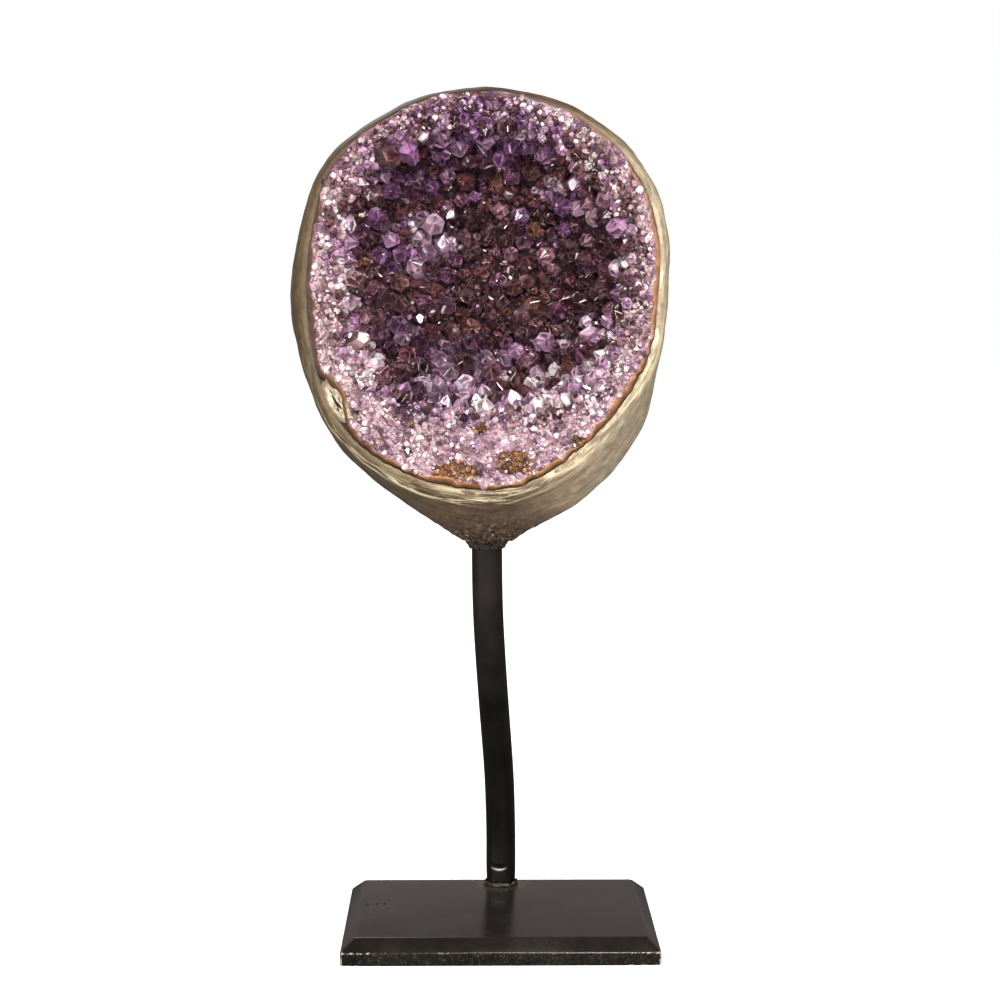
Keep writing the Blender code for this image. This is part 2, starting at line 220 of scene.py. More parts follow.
steel, tree, shader = new_material("satin_black_painted_steel", {
    "Roughness": 0.3, "IOR": 1.5, "Specular Tint": (1.0, 0.88, 0.89, 1),
    "Specular IOR Level": 0.4})
place = add_node(tree, "ShaderNodeTexCoord").outputs["Object"]
clouds = add_node(tree, "ShaderNodeTexNoise", {"Scale": 1 / (14 * MM), "Detail": 6,
                                               "Roughness": 0.65}, {"Vector": place})
paint = add_node(tree, "ShaderNodeValToRGB", None, {"Fac": clouds.outputs["Fac"]})
paint.color_ramp.elements[0].position = 0.35
paint.color_ramp.elements[0].color = linear("#0f0e0c")
paint.color_ramp.elements[1].position = 0.7
paint.color_ramp.elements[1].color = linear("#231f1b")
height = add_node(tree, "ShaderNodeSeparateXYZ", None, {0: place}).outputs["Z"]
low = add_node(tree, "ShaderNodeMapRange", {"From Min": 4.6 * MM, "From Max": 3.9 * MM},
               {"Value": height})
specks = add_node(tree, "ShaderNodeTexNoise", {"Scale": 1 / (0.9 * MM), "Detail": 4,
                                               "Roughness": 0.7}, {"Vector": place})
bare = add_node(tree, "ShaderNodeMapRange", {"From Min": 0.52, "From Max": 0.76},
                {"Value": specks.outputs["Fac"]})
scuffed = add_node(tree, "ShaderNodeMath", {"operation": 'MULTIPLY'},
                   {0: low.outputs[0], 1: bare.outputs[0]})
# Painted shade: the bar is darkened towards its foot, most just above the plate and not at all at its top.
rise = add_node(tree, "ShaderNodeMapRange", {"From Max": 130 * MM}, {"Value": height})
foot_shade = add_ramp(tree, rise.outputs[0], (
    (0.0, "#ffffff"), (0.0655, "#ffffff"), (0.068, "#8c8c8c"), (0.35, "#a8a8a8"), (1.0, "#ffffff")))
foot_shaded = add_node(tree, "ShaderNodeMix", {"data_type": 'RGBA', "blend_type": 'MULTIPLY', 0: 1.0},
                    {6: paint.outputs["Color"], 7: foot_shade})
scuffs = add_node(tree, "ShaderNodeMix", {"data_type": 'RGBA', 7: linear("#3d372f")},
                  {0: scuffed.outputs[0], 6: foot_shaded.outputs[2]})
edge = add_node(tree, "ShaderNodeAttribute", {"attribute_name": "edge"})
chips = add_node(tree, "ShaderNodeTexNoise", {"Scale": 1 / (2.2 * MM), "Detail": 5,
                                              "Roughness": 0.75}, {"Vector": place})
from_middle = add_node(tree, "ShaderNodeMath", {"operation": 'ABSOLUTE'}, {
    0: add_node(tree, "ShaderNodeSeparateXYZ", None, {0: place}).outputs["X"]})
at_ends = add_node(tree, "ShaderNodeMapRange", {"From Min": 36 * MM, "From Max": 50 * MM, "To Max": 0.12},
                   {"Value": from_middle.outputs[0]})
chip_sum = add_node(tree, "ShaderNodeMath", None, {0: chips.outputs["Fac"], 1: at_ends.outputs[0]})
chipped = add_node(tree, "ShaderNodeMapRange", {"From Min": 0.58, "From Max": 0.64},
                   {"Value": chip_sum.outputs[0]})
chip_mask = add_node(tree, "ShaderNodeMath", {"operation": 'MULTIPLY'},
                     {0: edge.outputs["Fac"], 1: chipped.outputs[0]})
low_chips = add_node(tree, "ShaderNodeMath", {"operation": 'MULTIPLY'},
                     {0: chip_mask.outputs[0], 1: low.outputs[0]})
metal = add_node(tree, "ShaderNodeMix", {"data_type": 'RGBA', 7: linear("#b8ab98")},
                 {0: low_chips.outputs[0], 6: scuffs.outputs[2]})
from_foot = add_node(tree, "ShaderNodeVectorMath", {"operation": 'DISTANCE', 1: tuple(BAR_FOOT)},
                     {0: place})
around = add_node(tree, "ShaderNodeMapRange", {"From Min": 9.5 * MM, "From Max": 5.5 * MM},
                  {"Value": from_foot.outputs["Value"]})
on_plate = add_node(tree, "ShaderNodeMapRange", {"From Min": 8.4 * MM, "From Max": 8.1 * MM},
                    {"Value": height})
flux_noise = add_node(tree, "ShaderNodeMath", {"operation": 'MULTIPLY'},
                      {0: on_plate.outputs[0], 1: chips.outputs["Fac"]})
flux_spots = add_node(tree, "ShaderNodeMath", {"operation": 'MULTIPLY'},
                      {0: around.outputs[0], 1: flux_noise.outputs[0]})
fluxed = add_node(tree, "ShaderNodeMix", {"data_type": 'RGBA', 7: linear("#5a4a34")},
                  {0: flux_spots.outputs[0], 6: metal.outputs[2]})
# Painted highlight: the dent's lower lip is painted near white as a bright stroke of light.
lip_highlight = add_node(tree, "ShaderNodeAttribute", {"attribute_name": "lip_highlight"})
lip_lit = add_node(tree, "ShaderNodeMix", {"data_type": 'RGBA', 7: linear("#d8d0c2")},
                 {0: lip_highlight.outputs["Fac"], 6: fluxed.outputs[2]})
tree.links.new(lip_lit.outputs[2], shader.inputs["Base Color"])
smudge = add_node(tree, "ShaderNodeMapRange", {"To Min": 0.1, "To Max": 0.3},
                  {"Value": clouds.outputs["Fac"]})
rough = add_node(tree, "ShaderNodeMath", {"operation": 'MULTIPLY_ADD', 1: 0.25},
                 {0: scuffed.outputs[0], 2: smudge.outputs[0]})
on_bar = add_node(tree, "ShaderNodeMapRange", {"From Min": 8.4 * MM, "From Max": 9 * MM, "To Max": 0.3},
                  {"Value": height})
rougher = add_node(tree, "ShaderNodeMath", None, {0: rough.outputs[0], 1: on_bar.outputs[0]})
tree.links.new(rougher.outputs[0], shader.inputs["Roughness"])
bump = add_node(tree, "ShaderNodeBump", {"Strength": 0.25, "Distance": 0.05 * MM},
                {"Height": specks.outputs["Fac"]})
tree.links.new(bump.outputs[0], shader.inputs["Normal"])

plate = add_object("steel_base_plate", plate_bm, steel)
plate.data.shade_smooth()
plate.data.set_sharp_from_angle(angle=math.radians(40))
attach(plate, "root")
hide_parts("base_plate")

# Three pits in the plate, drawn as flat black discs that carry the painted shade of their hollows.
pits_bm = bmesh.new()
for pit_x, pit_y in PLATE_PITS:
    pit_place = Matrix.Translation((pit_x * MM, pit_y * MM, 8.03 * MM)) @ Matrix.Diagonal((1, 1.6, 1, 1))
    bmesh.ops.create_circle(pits_bm, cap_ends=True, segments=12, radius=PIT_RADIUS, matrix=pit_place)
pit_shade, tree, shader = new_material("black_pit_shade", {
    "Base Color": linear("#030302"), "Roughness": 1.0, "Specular IOR Level": 0.0})
pits = add_object("plate_pits", pits_bm, pit_shade)
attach(pits, "root")


# Post: a 10 mm round steel bar, bent cold into a slow S and painted with the plate.
# The bender left a shallow thumbnail-shaped dent on the front near its foot; its lower lip is painted pale
# as a highlight.

DENT_CENTRE = Vector((0.1, 25, 14.5)) * MM
DENT_WIDTH = 2.7 * MM
DENT_HEIGHT = 1.3 * MM
DENT_DEPTH = 0.6 * MM
DENT_BOW = 0.28


def quads_joined(bm):
    """Turn pairs of loose triangles back into the four-sided faces they came from."""
    bmesh.ops.join_triangles(bm, faces=bm.faces, angle_face_threshold=math.radians(40),
                             angle_shape_threshold=math.radians(40))


def rounded_copy(node, levels):
    """A CAD copy with its facets turned into smooth curves."""
    bm = cad_copy(node)
    quads_joined(bm)
    mesh = bpy.data.meshes.new("rounding")
    bm.to_mesh(mesh)
    bm.free()
    holder = bpy.data.objects.new("rounding", mesh)
    bpy.context.scene.collection.objects.link(holder)
    rounding = holder.modifiers.new("rounding", 'SUBSURF')
    rounding.levels = rounding.render_levels = levels
    smooth = bmesh.new()
    smooth.from_object(holder, bpy.context.evaluated_depsgraph_get())
    bpy.data.objects.remove(holder)
    bpy.data.meshes.remove(mesh)
    return smooth


post_bm = rounded_copy("post", 2)
for cut in range(-12, 13):
    bmesh.ops.bisect_plane(post_bm, geom=post_bm.verts[:] + post_bm.edges[:] + post_bm.faces[:],
                           plane_co=DENT_CENTRE + Vector((0, 0, cut * 0.16 * MM)), plane_no=(0, 0, 1))
lip_highlight = post_bm.verts.layers.float.new("lip_highlight")
for vert in post_bm.verts:
    off = vert.co - DENT_CENTRE
    bow = (off.z - DENT_BOW * off.x * off.x / DENT_WIDTH) / DENT_HEIGHT
    side = off.x / DENT_WIDTH
    if off.y < 4 * MM and abs(side) < 1 and abs(bow) < 1:
        vert.co.y += DENT_DEPTH * math.cos(side * math.pi / 2) * math.cos(bow * math.pi / 2)
        vert[lip_highlight] = (1 - side * side) * max(0.0, 1 - abs(bow + 0.45) / 0.22)
bar_steel = steel.copy()
bar_steel.name = "satin_black_painted_bar"
bar_steel.node_tree.nodes["Principled BSDF"].inputs["Specular IOR Level"].default_value = 0.25
post = add_object("steel_post", post_bm, bar_steel)
post.data.shade_smooth()
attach(post, "root")
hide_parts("post")


# Weld bead: a small fillet run round the foot of the bar, blackened with the rest, with
# a trace of tan flux left on it.

weld_bm = rounded_copy("weld_bead", 2)
for vert in weld_bm.verts:
    ripple = noise.noise(vert.co / (1.3 * MM))
    off = vert.co - BAR_FOOT
    outward = Vector((off.x, off.y, 0))
    reach = outward.length
    slimmer = 5.3 * MM + max(0.0, reach - 5.3 * MM) * (0.6 + ripple * 0.4)
    vert.co = BAR_FOOT + outward * slimmer / reach + Vector((0, 0, off.z * (0.75 + ripple * 0.3)))
weld_metal, tree, shader = new_material("blackened_weld_metal", {"Roughness": 0.5})
place = add_node(tree, "ShaderNodeTexCoord").outputs["Object"]
flux = add_node(tree, "ShaderNodeTexNoise", {"Scale": 1 / (1.6 * MM), "Detail": 5}, {"Vector": place})
flux_color = add_node(tree, "ShaderNodeValToRGB", None, {"Fac": flux.outputs["Fac"]})
flux_color.color_ramp.elements[0].position = 0.5
flux_color.color_ramp.elements[0].color = linear("#0e0c0a")
flux_color.color_ramp.elements[1].position = 0.78
flux_color.color_ramp.elements[1].color = linear("#4a3d2b")
tree.links.new(flux_color.outputs["Color"], shader.inputs["Base Color"])
weld = add_object("weld_run", weld_bm, weld_metal)
weld.data.shade_smooth()
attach(weld, "root")
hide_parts("weld_bead")


# Host rock: a cup of basalt, ground round and half polished on the outside. Flow streaks
# run round it, painted light and shade make the right side lighter and the left side darker
# and greener, painted shade darkens the top, and the underside, where it was drilled for
# the bar, is left rough and dark, with painted glints on its grit.

FACE_CENTRE = Vector((-5, -24, 207)) * MM
FACE_LEAN = math.radians(8)
FACE_TURN = math.radians(4)
face_out = Vector((-math.sin(FACE_TURN) * math.cos(FACE_LEAN),
                   -math.cos(FACE_TURN) * math.cos(FACE_LEAN), math.sin(FACE_LEAN)))
face_across = Vector((0, 0, 1)).cross(face_out).normalized()
face_up = face_out.cross(face_across)
stone = Matrix.Translation(FACE_CENTRE) @ Matrix(
    (face_across, face_up, face_out)).transposed().to_4x4()
to_stone = stone.inverted()
ROUGH_BELOW = 137 * MM

def near_angle(angle, centre, width):
    """1 at an angle in degrees, falling to 0 at width degrees from it."""
    off = abs((math.degrees(angle) - centre + 180) % 360 - 180)
    share = max(0.0, 1 - off / width)
    return share * share * (3 - 2 * share)


rock_bm = cad_copy("rind")
quads_joined(rock_bm)
bmesh.ops.subdivide_edges(rock_bm, edges=rock_bm.edges, cuts=3, use_grid_fill=True, smooth=0.6)
bmesh.ops.triangulate(rock_bm, faces=rock_bm.faces)
rock_bm.normal_update()
vein = rock_bm.verts.layers.float.new("vein")
moves = []
for vert in rock_bm.verts:
    local = to_stone @ vert.co
    lumps = noise.fractal(vert.co / (16 * MM), 0.8, 2.2, 3) * 0.55 * MM
    scrapes = noise.noise(Vector((local.x / 9, local.y / 9, local.z / 1.6)) / MM) * 0.12 * MM
    raw = max(0.0, min(1.0, (ROUGH_BELOW - vert.co.z) / (7 * MM)))
    crags = noise.fractal(vert.co / (2.2 * MM), 0.7, 2.1, 4) * 0.75 * MM * raw
    on_face = max(0.0, 1 + local.z / (1.5 * MM)) if local.z > -1.5 * MM else 0.0
    angle = math.atan2(local.y, local.x)
    shell = near_angle(angle, 250, 70) * max(0.0, 1 - abs(local.z / MM + 2.2) / 2.6)
    vert[vein] = max(shell, near_angle(angle, 310, 75) * on_face * 0.9)
    from_bar = Vector((vert.co.x + 4 * MM, vert.co.y - 2 * MM, 0))
    tuck = 0.2 * raw * min(1.0, max(0.0, from_bar.length - 7 * MM) / (3 * MM))
    moves.append(vert.normal * ((lumps + scrapes) * (1 - on_face) + crags) - from_bar * tuck)
for vert, move in zip(rock_bm.verts, moves):
    vert.co += move

basalt, tree, shader = new_material("half_polished_basalt", {
    "IOR": 1.55, "Specular IOR Level": 0.35})
place = add_node(tree, "ShaderNodeTexCoord").outputs["Object"]
turned = add_node(tree, "ShaderNodeMapping", {"vector_type": 'POINT',
                                              "Rotation": (FACE_LEAN, 0, FACE_TURN)}, {"Vector": place})
streak_space = add_node(tree, "ShaderNodeMapping", {"Scale": (1 / 12, 1 / 1.1, 1 / 12)},
                        {"Vector": turned.outputs[0]})
streaks = add_node(tree, "ShaderNodeTexNoise", {"Scale": 1 / MM, "Detail": 10, "Roughness": 0.7,
                                                "Distortion": 0.7}, {"Vector": streak_space.outputs[0]})
mottle = add_node(tree, "ShaderNodeTexNoise", {"Scale": 1 / (4 * MM), "Detail": 12,
                                               "Roughness": 0.78}, {"Vector": place})
blend = add_node(tree, "ShaderNodeMix", {"data_type": 'FLOAT', 0: 0.5},
                 {2: streaks.outputs["Fac"], 3: mottle.outputs["Fac"]})
tones = add_node(tree, "ShaderNodeValToRGB", None, {"Fac": blend.outputs[0]})
ramp = tones.color_ramp
ramp.elements[0].position = 0.34
ramp.elements[0].color = linear("#51453a")
ramp.elements[1].position = 0.66
ramp.elements[1].color = linear("#dccfb6")
for position, tone in ((0.43, "#7a6c5a"), (0.5, "#97886f"), (0.57, "#b0a084")):
    ramp.elements.new(position).color = linear(tone)
# Painted light and shade: the right side is lightened towards white and the left side darkened and greener,
# as the key falls from the right.
sides = add_node(tree, "ShaderNodeSeparateXYZ", None, {0: place})
right = add_node(tree, "ShaderNodeMapRange", {"From Min": -50 * MM, "From Max": 50 * MM},
                 {"Value": sides.outputs["X"]})
side_light = add_ramp(tree, right.outputs[0], (
    (0.05, "#8e8068"), (0.3, "#988a76"), (0.52, "#a09084"), (0.62, "#c9bdb2"), (0.72, "#f2ebe2"),
    (0.85, "#ffffff")))
side_lit = add_node(tree, "ShaderNodeMix", {"data_type": 'RGBA', "blend_type": 'MULTIPLY', 0: 1.0},
                 {6: tones.outputs["Color"], 7: side_light})
# Painted shade: the top of the cup is darkened.
crown = add_node(tree, "ShaderNodeMapRange", {"From Min": 235 * MM, "From Max": 262 * MM, "To Max": 0.9},
                 {"Value": sides.outputs["Z"]})
crown_shaded = add_node(tree, "ShaderNodeMix", {"data_type": 'RGBA', "blend_type": 'MULTIPLY',
                                          7: linear("#8c7a68")},
                  {0: crown.outputs[0], 6: side_lit.outputs[2]})
under = add_node(tree, "ShaderNodeMapRange", {"From Min": 142 * MM, "From Max": 131 * MM},
                 {"Value": sides.outputs["Z"]})
# The underside is rough dark rock with grit; its brightest specks are painted glints.
grit = add_node(tree, "ShaderNodeTexNoise", {"Scale": 1 / (1.1 * MM), "Detail": 5, "Roughness": 0.7},
                {"Vector": place})
grit_and_glints = add_ramp(tree, grit.outputs["Fac"], (
    (0.38, "#1a120c"), (0.5, "#46352a"), (0.6, "#6a5240"), (0.68, "#c9a981")))
colored = add_node(tree, "ShaderNodeMix", {"data_type": 'RGBA'},
                   {0: under.outputs[0], 6: crown_shaded.outputs[2], 7: grit_and_glints})
seam = add_node(tree, "ShaderNodeAttribute", {"attribute_name": "vein"})
broken = add_node(tree, "ShaderNodeMapRange", {"From Min": 0.47, "From Max": 0.6, "To Max": 1.3},
                  {"Value": streaks.outputs["Fac"]})
veined = add_node(tree, "ShaderNodeMath", {"operation": 'MULTIPLY', "use_clamp": True},
                  {0: seam.outputs["Fac"], 1: broken.outputs[0]})
rock_color = add_node(tree, "ShaderNodeMix", {"data_type": 'RGBA', 7: linear("#dccba6")},
                      {0: veined.outputs[0], 6: colored.outputs[2]})
tree.links.new(rock_color.outputs[2], shader.inputs["Base Color"])
gloss = add_node(tree, "ShaderNodeMapRange", {"To Min": 0.4, "To Max": 0.7},
                 {"Value": mottle.outputs["Fac"]})
tree.links.new(gloss.outputs[0], shader.inputs["Roughness"])
bump = add_node(tree, "ShaderNodeBump", {"Strength": 0.7, "Distance": 0.35 * MM},
                {"Height": blend.outputs[0]})
tree.links.new(bump.outputs[0], shader.inputs["Normal"])

rock = add_object("basalt_cup", rock_bm, basalt)
rock.data.shade_smooth()
rock.data.set_sharp_from_angle(angle=math.radians(50))
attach(rock, "root")
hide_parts("rind")


# Resin: dark epoxy stirred with rock grit, which fills the drilled hole and is smeared
# into a small collar under the stone.

resin_bm = rounded_copy("socket_glue", 2)
bmesh.ops.subdivide_edges(resin_bm, edges=resin_bm.edges, cuts=1, use_grid_fill=True)
resin_bm.normal_update()
grit = [vert.normal * noise.fractal(vert.co / (1.1 * MM), 0.8, 2.0, 3) * 0.55 * MM
        if vert.co.z < 129 * MM else Vector() for vert in resin_bm.verts]
for vert, move in zip(resin_bm.verts, grit):
    off = Vector((vert.co.x + 4 * MM, vert.co.y - 2 * MM, 0))
    cone = 5.4 * MM + max(0.0, vert.co.z - 125.7 * MM) * 0.66
    vert.co += move * 0.5 - off.normalized() * max(0.0, off.length - cone)
resin_material, tree, shader = new_material("gritty_dark_resin", {"Roughness": 0.4})
place = add_node(tree, "ShaderNodeTexCoord").outputs["Object"]
grains = add_node(tree, "ShaderNodeTexNoise", {"Scale": 1 / (0.8 * MM), "Detail": 5,
                                               "Roughness": 0.75}, {"Vector": place})
grain_color = add_node(tree, "ShaderNodeValToRGB", None, {"Fac": grains.outputs["Fac"]})
grain_color.color_ramp.elements[0].position = 0.5
grain_color.color_ramp.elements[0].color = linear("#15100b")
grain_color.color_ramp.elements[1].position = 0.75
grain_color.color_ramp.elements[1].color = linear("#86705a")
tree.links.new(grain_color.outputs["Color"], shader.inputs["Base Color"])
resin = add_object("resin_collar", resin_bm, resin_material)
resin.data.shade_smooth()
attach(resin, "root")
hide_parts("socket_glue")


# Agate: the first lining of the gas bubble in the basalt, a thin brown-orange skin. The
# saw cut it across and it was polished with the rim, so it shows as a wandering line.

TURNS = 384


def rim_radii(node):
    """Smallest and largest radius of a CAD node on the cut face, all the way round."""
    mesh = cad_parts[node].data
    points = [to_stone @ vert.co for vert in mesh.vertices]
    on_cut = [(math.atan2(p.y, p.x) % math.tau, math.hypot(p.x, p.y)) for p in points
              if abs(p.z) < 0.05 * MM]
    bins = {}
    for angle, radius in on_cut:
        bins.setdefault(round(angle / math.tau * 48) % 48, []).append(radius)
    angles = np.array(sorted(bins)) * math.tau / 48
    inner = np.array([min(bins[key]) for key in sorted(bins)])
    outer = np.array([max(bins[key]) for key in sorted(bins)])
    return angles, inner, outer


def round_the_rim(angles, radii):
    """A smooth function of the angle through radii given round a ring."""
    wrapped = np.concatenate([angles - math.tau, angles, angles + math.tau])
    tripled = np.tile(radii, 3)
    fine = np.linspace(0, math.tau, 721)
    values = np.interp(fine, wrapped, tripled)
    kernel = np.hanning(21)
    kernel /= kernel.sum()
    smooth = np.convolve(np.concatenate([values[-41:-1], values, values[1:41]]), kernel,
                         mode='same')[40:-40]
    return lambda angle: float(np.interp(angle % math.tau, fine, smooth))


rock_edge = round_the_rim(*[rim_radii("rind")[i] for i in (0, 2)])
agate_outer = round_the_rim(*[rim_radii("agate_band")[i] for i in (0, 2)])
agate_inner = round_the_rim(*[rim_radii("agate_band")[i] for i in (0, 1)])
mouth = round_the_rim(*[rim_radii("quartz_druse")[i] for i in (0, 1)])


def wander(angle, scale, seed):
    """Noise that closes on itself round the rim, about -1 to 1."""
    return noise.fractal(Vector((math.cos(angle) * scale, math.sin(angle) * scale, seed)),
                         0.9, 2.1, 4)


def agate_line(angle):
    """Outer and inner radius of the agate's cut edge."""
    notch = near_angle(angle, 216, 12) * 3.6 * MM
    crown = near_angle(angle, 100, 85)
    flank = near_angle(angle, 6, 26)
    lobes = abs(wander(angle, 13, 3)) * 1.3 - 0.3
    outer = agate_outer(angle) + (0.2 + wander(angle, 7, 1) * 0.6 - lobes) * MM - notch
    outer += max(crown, flank) * max(0.0, rock_edge(angle) - 0.25 * MM - outer)
    wide = (flank * 1.7 + near_angle(angle, -38, 20) * 1.3
            + near_angle(angle, -70, 16) * 1.3 + near_angle(angle, 262, 14) * 1.0
            + near_angle(angle, 195, 75) * 0.9 + near_angle(angle, 211, 9) * 1.2
            - crown * 0.6) * MM
    inner = outer - max(0.4, 1.0 + wander(angle, 12, 5) * 0.9) * MM - wide
    return outer, inner


def spun(profile, steps, closed):
    """A flat profile of (radius, height) spun into a ring or a bowl about Z."""
    bm = bmesh.new()
    points = [bm.verts.new((radius, 0, height)) for radius, height in profile]
    pairs = list(zip(points, points[1:])) + ([(points[-1], points[0])] if closed else [])
    edges = [bm.edges.new(pair) for pair in pairs]
    bmesh.ops.spin(bm, geom=points + edges, cent=(0, 0, 0), axis=(0, 0, 1),
                   angle=math.tau, steps=steps, use_merge=True)
    bmesh.ops.remove_doubles(bm, verts=bm.verts, dist=1e-6)
    bmesh.ops.recalc_face_normals(bm, faces=bm.faces)
    return bm


# Each point of the section: its share of the way from the line's outer to its inner
# edge, and its height over the cut face in mm.
AGATE_SECTION = ((-0.3, -7), (-0.2, -0.1), (0.0, 0.12), (0.35, 0.28), (0.7, 0.42), (1.0, 0.4),
                 (1.15, -0.4), (1.3, -7))
agate_bm = spun([(2 + share, height) for share, height in AGATE_SECTION], TURNS, True)
across = agate_bm.verts.layers.float.new("across")
for vert in agate_bm.verts:
    angle = math.atan2(vert.co.y, vert.co.x)
    share = math.hypot(vert.co.x, vert.co.y) - 2
    outer, inner = agate_line(angle)
    beyond = min(0.0, share) + max(0.0, share - 1)
    radius = outer + (inner - outer) * max(0.0, min(1.0, share)) - beyond * 1.2 * MM
    flow = noise.noise(Vector((math.cos(angle) * 30, math.sin(angle) * 30, share))) * 0.03
    vert[across] = max(0.0, min(1.0, share))
    vert.co = stone @ Vector((radius * math.cos(angle), radius * math.sin(angle),
                              (vert.co.z + flow) * MM))

agate_material, tree, shader = new_material("polished_brown_agate", {
    "Roughness": 0.42, "IOR": 1.54, "Specular IOR Level": 0.3})
place = add_node(tree, "ShaderNodeTexCoord").outputs["Object"]
band = add_node(tree, "ShaderNodeAttribute", {"attribute_name": "across"})
cloud = add_node(tree, "ShaderNodeTexNoise", {"Scale": 1 / (2.5 * MM), "Detail": 9,
                                              "Roughness": 0.75}, {"Vector": place})
shifted = add_node(tree, "ShaderNodeMath", {"operation": 'MULTIPLY_ADD', 1: 1.6},
                   {0: cloud.outputs["Fac"], 2: band.outputs["Fac"]})
halved = add_node(tree, "ShaderNodeMath", {"operation": 'MULTIPLY', 1: 0.5}, {0: shifted.outputs[0]})
agate_tones = add_ramp(tree, halved.outputs[0], (
    (0.3, "#1c0f08"), (0.45, "#38200f"), (0.62, "#593417"), (0.78, "#7b4c23"), (0.95, "#a57c4c")))
sides = add_node(tree, "ShaderNodeSeparateXYZ", None, {0: place})
# Painted shade: the line is darker on the left, away from the key light.
left = add_node(tree, "ShaderNodeMapRange", {"From Min": -15 * MM, "From Max": -55 * MM},
                {"Value": sides.outputs["X"]})
agate_left_shaded = add_node(tree, "ShaderNodeMix", {"data_type": 'RGBA', "blend_type": 'MULTIPLY',
                                               7: linear("#a08a78")},
                       {0: left.outputs[0], 6: agate_tones})
tree.links.new(agate_left_shaded.outputs[2], shader.inputs["Base Color"])
agate = add_object("agate_line", agate_bm, agate_material)
agate.data.shade_smooth()
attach(agate, "root")
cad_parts["agate_band"].data.materials[0] = agate_material


# Porous inclusion: a cream patch of chalcedony in the notch of the agate at the lower
# left. It was cut with the face, which opened the long holes along its middle; their dark brown is painted
# shade.

INCLUSION_ANGLE = math.radians(216)
INCLUSION_RADIUS = 56 * MM
INCLUSION_SIZE = Vector((9.6, 3.6, 1.9)) * MM
INCLUSION_HOLES = ((-0.36, 0.07, 0.09), (-0.14, -0.03, 0.11), (0.04, -0.08, 0.15), (0.2, 0.02, 0.1),
                   (0.38, 0.08, 0.08), (0.0, 0.28, 0.06), (0.24, -0.28, 0.06))

inclusion_bm = bmesh.new()
bmesh.ops.create_icosphere(inclusion_bm, subdivisions=6, radius=1)
hole_layer = inclusion_bm.verts.layers.float.new("hole")
rim_layer = inclusion_bm.verts.layers.float.new("rim")
to_notch = Matrix.Rotation(INCLUSION_ANGLE, 4, 'Z') @ Matrix.Translation(
    (INCLUSION_RADIUS, 0, -1.0 * MM)) @ Matrix.Rotation(math.radians(88), 4, 'Z')
for vert in inclusion_bm.verts:
    depth = 0.0
    if vert.co.z > 0:
        for hole_x, hole_y, reach in INCLUSION_HOLES:
            off = math.hypot((vert.co.x - hole_x) * 0.8, (vert.co.y - hole_y) * 1.5)
            off += noise.noise(vert.co * 7) * 0.06
            depth = max(depth, min(1.0, max(0.0, 1 - off / reach) * 3))
    vert[hole_layer] = depth
    crust = noise.fractal(vert.co * 2.2, 0.8, 2.3, 5) * 0.2
    from_axis = math.hypot(vert.co.x, vert.co.y) + crust * 0.5
    vert[rim_layer] = min(1.0, max(0.0, (from_axis - 0.58) / 0.12))
    flat = vert.co * (1 + crust)
    flat.z = min(flat.z, 0.66 + crust * 0.25) - depth * 0.5
    vert.co = stone @ to_notch @ Vector((flat.x * INCLUSION_SIZE.x, flat.y * INCLUSION_SIZE.y,
                                         flat.z * INCLUSION_SIZE.z))
chalcedony, tree, shader = new_material("porous_cream_chalcedony", {"Roughness": 0.6})
place = add_node(tree, "ShaderNodeTexCoord").outputs["Object"]
chalk = add_node(tree, "ShaderNodeTexNoise", {"Scale": 1 / (1.3 * MM), "Detail": 6,
                                              "Roughness": 0.7}, {"Vector": place})
chalk_tones = add_ramp(tree, chalk.outputs["Fac"], (
    (0.35, "#5c4e38"), (0.48, "#8c7e66"), (0.62, "#b8ae9a")))
# Painted shade: the holes are painted dark brown.
hollow = add_node(tree, "ShaderNodeAttribute", {"attribute_name": "hole"})
holes_shaded = add_node(tree, "ShaderNodeMix", {"data_type": 'RGBA', 7: linear("#2c2112")},
                  {0: hollow.outputs["Fac"], 6: chalk_tones})
skin = add_node(tree, "ShaderNodeAttribute", {"attribute_name": "rim"})
skinned = add_node(tree, "ShaderNodeMix", {"data_type": 'RGBA', 7: linear("#6b5a42")},
                   {0: skin.outputs["Fac"], 6: holes_shaded.outputs[2]})
tree.links.new(skinned.outputs[2], shader.inputs["Base Color"])
inclusion = add_object("chalcedony_inclusion", inclusion_bm, chalcedony)
inclusion.data.shade_smooth()
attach(inclusion, "root")


# Quartz bed: the crust that the crystals stand on. On the cut rim it is pale and
# sugary; down in the cavity painted shade makes it dark, and it shows only in the gaps between crystals.

CAVITY_DEPTH = 27 * MM
WALL_POWER = 2.5
LUMP_SIZE = 15 * MM
LUMP_HEIGHT = 2.0 * MM
BED_RINGS = 70
BED_TURNS = 192

# Colours of the quartz. Iron makes it violet where it grew slowly and wine-brown where
# it grew dark and thick; the first crust against the agate is milky, and amber in spots.
WINE = "#552c30"
BROWN_WINE = "#522e2a"
DARK_WINE = "#391a20"
ROSE_WINE = "#6e4a54"
BROWN_GLASS = "#5a3522"
DEEP_VIOLET = "#4e2a40"
VIOLET = "#6f4870"
LILAC = "#9d7a96"
PALE_LILAC = "#bfa2b4"
AMBER = ("#6e451c", "#8a5a24", "#4c2e14", "#a67a3c", "#6e451c")
RIM_COLORS = ("#cfb4b4", "#e9ddd8", "#b2949a", "#94747d", "#7d5d60", "#5c4246", LILAC, VIOLET)
RIM_WEIGHTS = (0.27, 0.16, 0.22, 0.15, 0.1, 0.07, 0.05, 0.02)
LEDGE_COLORS = ("#efe4e0", "#e2ccd0", "#d3b8c0", PALE_LILAC, LILAC)
LEDGE_TOP = -18 * MM                                  # the milky ledges lie below this
RIM_SLOPES = (2, 3.5, 1, -0.5, -2.5, -3, -1, -3)      # how each share follows the cloudiness
PALE_ANGLES = (0, 30, 50, 70, 90, 120, 150, 180, 205, 220, 237, 252, 270, 300, 315, 330)
PALE_RADII = (45, 48, 53, 58, 66, 60, 50, 38, 37, 41, 48, 38, 32, 28, 29, 38)  # mm, start of the pale crust
